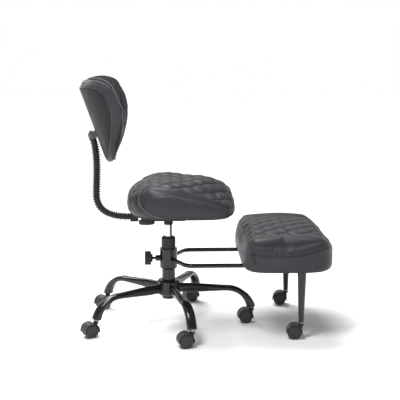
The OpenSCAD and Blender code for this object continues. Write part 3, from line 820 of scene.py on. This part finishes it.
def make_hose():
    """The corrugated stalk, along the same route as its CAD solid."""
    # two cubic curves as (x, z): the elbow out from under the seat, and the rise to the backrest
    run = [(-0.136, 0.408), (-0.190, 0.408), (-0.262, 0.413), (-0.267, 0.487),
           (-0.266, 0.555), (-0.256, 0.635), (-0.275, 0.699)]
    knots = np.array([(x, 0, z) for x, z in run])
    t = np.linspace(0, 1, 400)
    route = np.vstack([bezier(*knots[0:4], t), bezier(*knots[3:7], t)[1:]])
    gone = np.concatenate([[0], np.cumsum(np.linalg.norm(np.diff(route, axis=0), axis=1))])
    pitch, steps = 0.0092, 10       # of one corrugation, and its rings of points
    spots = np.linspace(0, gone[-1], int(gone[-1] / pitch) * steps)
    path = np.stack([np.interp(spots, gone, route[:, k]) for k in range(3)], 1)
    crest = np.clip(2.0 * (wave(spots / pitch) - 0.45), 0, 1)
    # the crests are lower at both ends, which sit inside the fittings
    free = ramp(spots, 0.0, 0.02) * (1 - ramp(spots, gone[-1] - 0.03, gone[-1]))
    radii = 0.0108 + (0.0035 + 0.0027 * free) * crest
    hose = tube("corrugated_hose", path, radii, hose_plastic, sides=32, across=(0, 1, 0))
    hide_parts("hose")
    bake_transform(hose)


# ---- base legs ----

def make_legs():
    """Smooth formed-steel legs: level out of the hub, then bent down to the caster sockets."""
    hub_low, hub_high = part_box("base_hub")
    root_x = (hub_high.x - hub_low.x) / 2 - 0.008       # a leg starts a little inside the hub
    stem_x = centre("caster_1_stem").xy.length
    level = hub_low.z + 0.025                           # of the legs' middle line out of the hub
    bend_x, end_angle = 0.220, math.radians(76.6)       # where the bend starts, and how far it turns
    bend_r = stem_x - bend_x
    straight, arc = bend_x - root_x, bend_r * end_angle
    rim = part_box("base_leg_1")[0].z                     # the socket's lower face
    turn = np.linspace(0, 2 * np.pi, 40, endpoint=False)
    rings = []
    for s in np.linspace(0, 1, 64):
        gone = s * (straight + arc)
        bend = max(0.0, (gone - straight) / bend_r)
        x = bend_x + bend_r * math.sin(bend) if bend else root_x + gone
        z = level - bend_r * (1 - math.cos(bend))
        # flatter and wider away from the hub, then flared into the socket
        flat, flare = min(1, max(0, (s - 0.2) / 0.35)), max(0, (s - 0.78) / 0.22)
        tall, wide = 0.0175 - 0.007 * flat + 0.0065 * flare, 0.011 + 0.007 * flat
        r = (np.abs(np.cos(turn) / wide) ** 2.4 + np.abs(np.sin(turn) / tall) ** 2.4) ** (-1 / 2.4)
        h = r * np.sin(turn)
        ring = np.stack([x + h * math.sin(bend), -r * np.cos(turn), z + h * math.cos(bend)], 1)
        ring[:, 2] = np.maximum(ring[:, 2], rim)
        rings.append(ring)
    rings = np.array(rings)
    for i in range(1, LEG_COUNT + 1):
        stem = centre(f"caster_{i}_stem")
        angle = math.atan2(stem.y, stem.x)
        c, s = math.cos(angle), math.sin(angle)
        turned = rings @ np.array([[c, s, 0], [-s, c, 0], [0, 0, 1]])
        leg = loft(f"formed_leg_{i}", turned, SLOT_MATERIALS["gloss_black_paint"])
        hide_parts(f"base_leg_{i}")
        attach(leg, "base")


# ---- stage ----

def area_light(name, place, target, size, power):
    data = bpy.data.lights.new(name, "AREA")
    data.shape = "RECTANGLE"
    data.size, data.size_y = size
    data.energy = power
    lamp = bpy.data.objects.new(name, data)
    lamp.location = place
    lamp.rotation_euler = (Vector(target) - Vector(place)).to_track_quat("-Z", "Y").to_euler()
    bpy.context.scene.collection.objects.link(lamp)


def make_stage():
    """A white floor that runs out into the white surround, a broad soft sun and two soft lights."""
    reach, steps = 14.0, 24
    side = np.linspace(-reach, reach, steps)
    points = [(x, y, 0) for y in side for x in side]
    faces = [(j * steps + i, j * steps + i + 1, (j + 1) * steps + i + 1, (j + 1) * steps + i)
             for j in range(steps - 1) for i in range(steps - 1)]
    new_piece("floor", points, faces, pale_floor("pale_floor", (1.0, 1.0, 1.0)))
    make_world()
    sun = bpy.data.lights.new("soft_sun", "SUN")
    sun.energy = 2.9
    sun.angle = math.radians(35)
    lamp = bpy.data.objects.new("soft_sun", sun)
    lamp.rotation_euler = Vector((-0.25, 0.45, 1.0)).to_track_quat("Z", "Y").to_euler()
    bpy.context.scene.collection.objects.link(lamp)
    middle = (0.1, 0, 0.45)
    area_light("key_light", (-0.7, -1.2, 2.8), middle, (0.8, 1.2), 62)
    area_light("rim_light", (-1.2, 2.2, 2.2), middle, (0.8, 1.8), 16)


def make_world():
    """A white surround that dims overhead, so that dark pieces keep their depth."""
    world = bpy.data.worlds.new("studio")
    world.use_nodes = True
    tree = world.node_tree
    direction = add(tree, "ShaderNodeTexCoord").outputs["Generated"]
    height = add(tree, "ShaderNodeSeparateXYZ", Vector=direction)
    tree.links.new(spread(tree, height.outputs["Z"], 1.0, 0.32, 0.05, 0.40),
                   tree.nodes["Background"].inputs["Strength"])
    tree.nodes["Background"].inputs["Color"].default_value = (1, 1, 1, 1)
    bpy.context.scene.world = world
    bpy.context.scene.view_settings.view_transform = "Standard"


def make_camera():
    """A long lens from the chair's right side, a little above it and looking slightly down."""
    data = bpy.data.cameras.new("camera")
    data.sensor_width = 36
    data.lens = 84.31
    camera = bpy.data.objects.new("camera", data)
    camera.location = (-0.0038, -3.4483, 1.0618)
    camera.rotation_euler = (math.radians(90 - 9.75), 0, -0.0355)
    bpy.context.scene.collection.objects.link(camera)
    bpy.context.scene.camera = camera


paint_cad_nodes()
make_seat()
make_rest()
make_back()
make_back_shell()
make_hose()
make_legs()
make_stage()
make_camera()
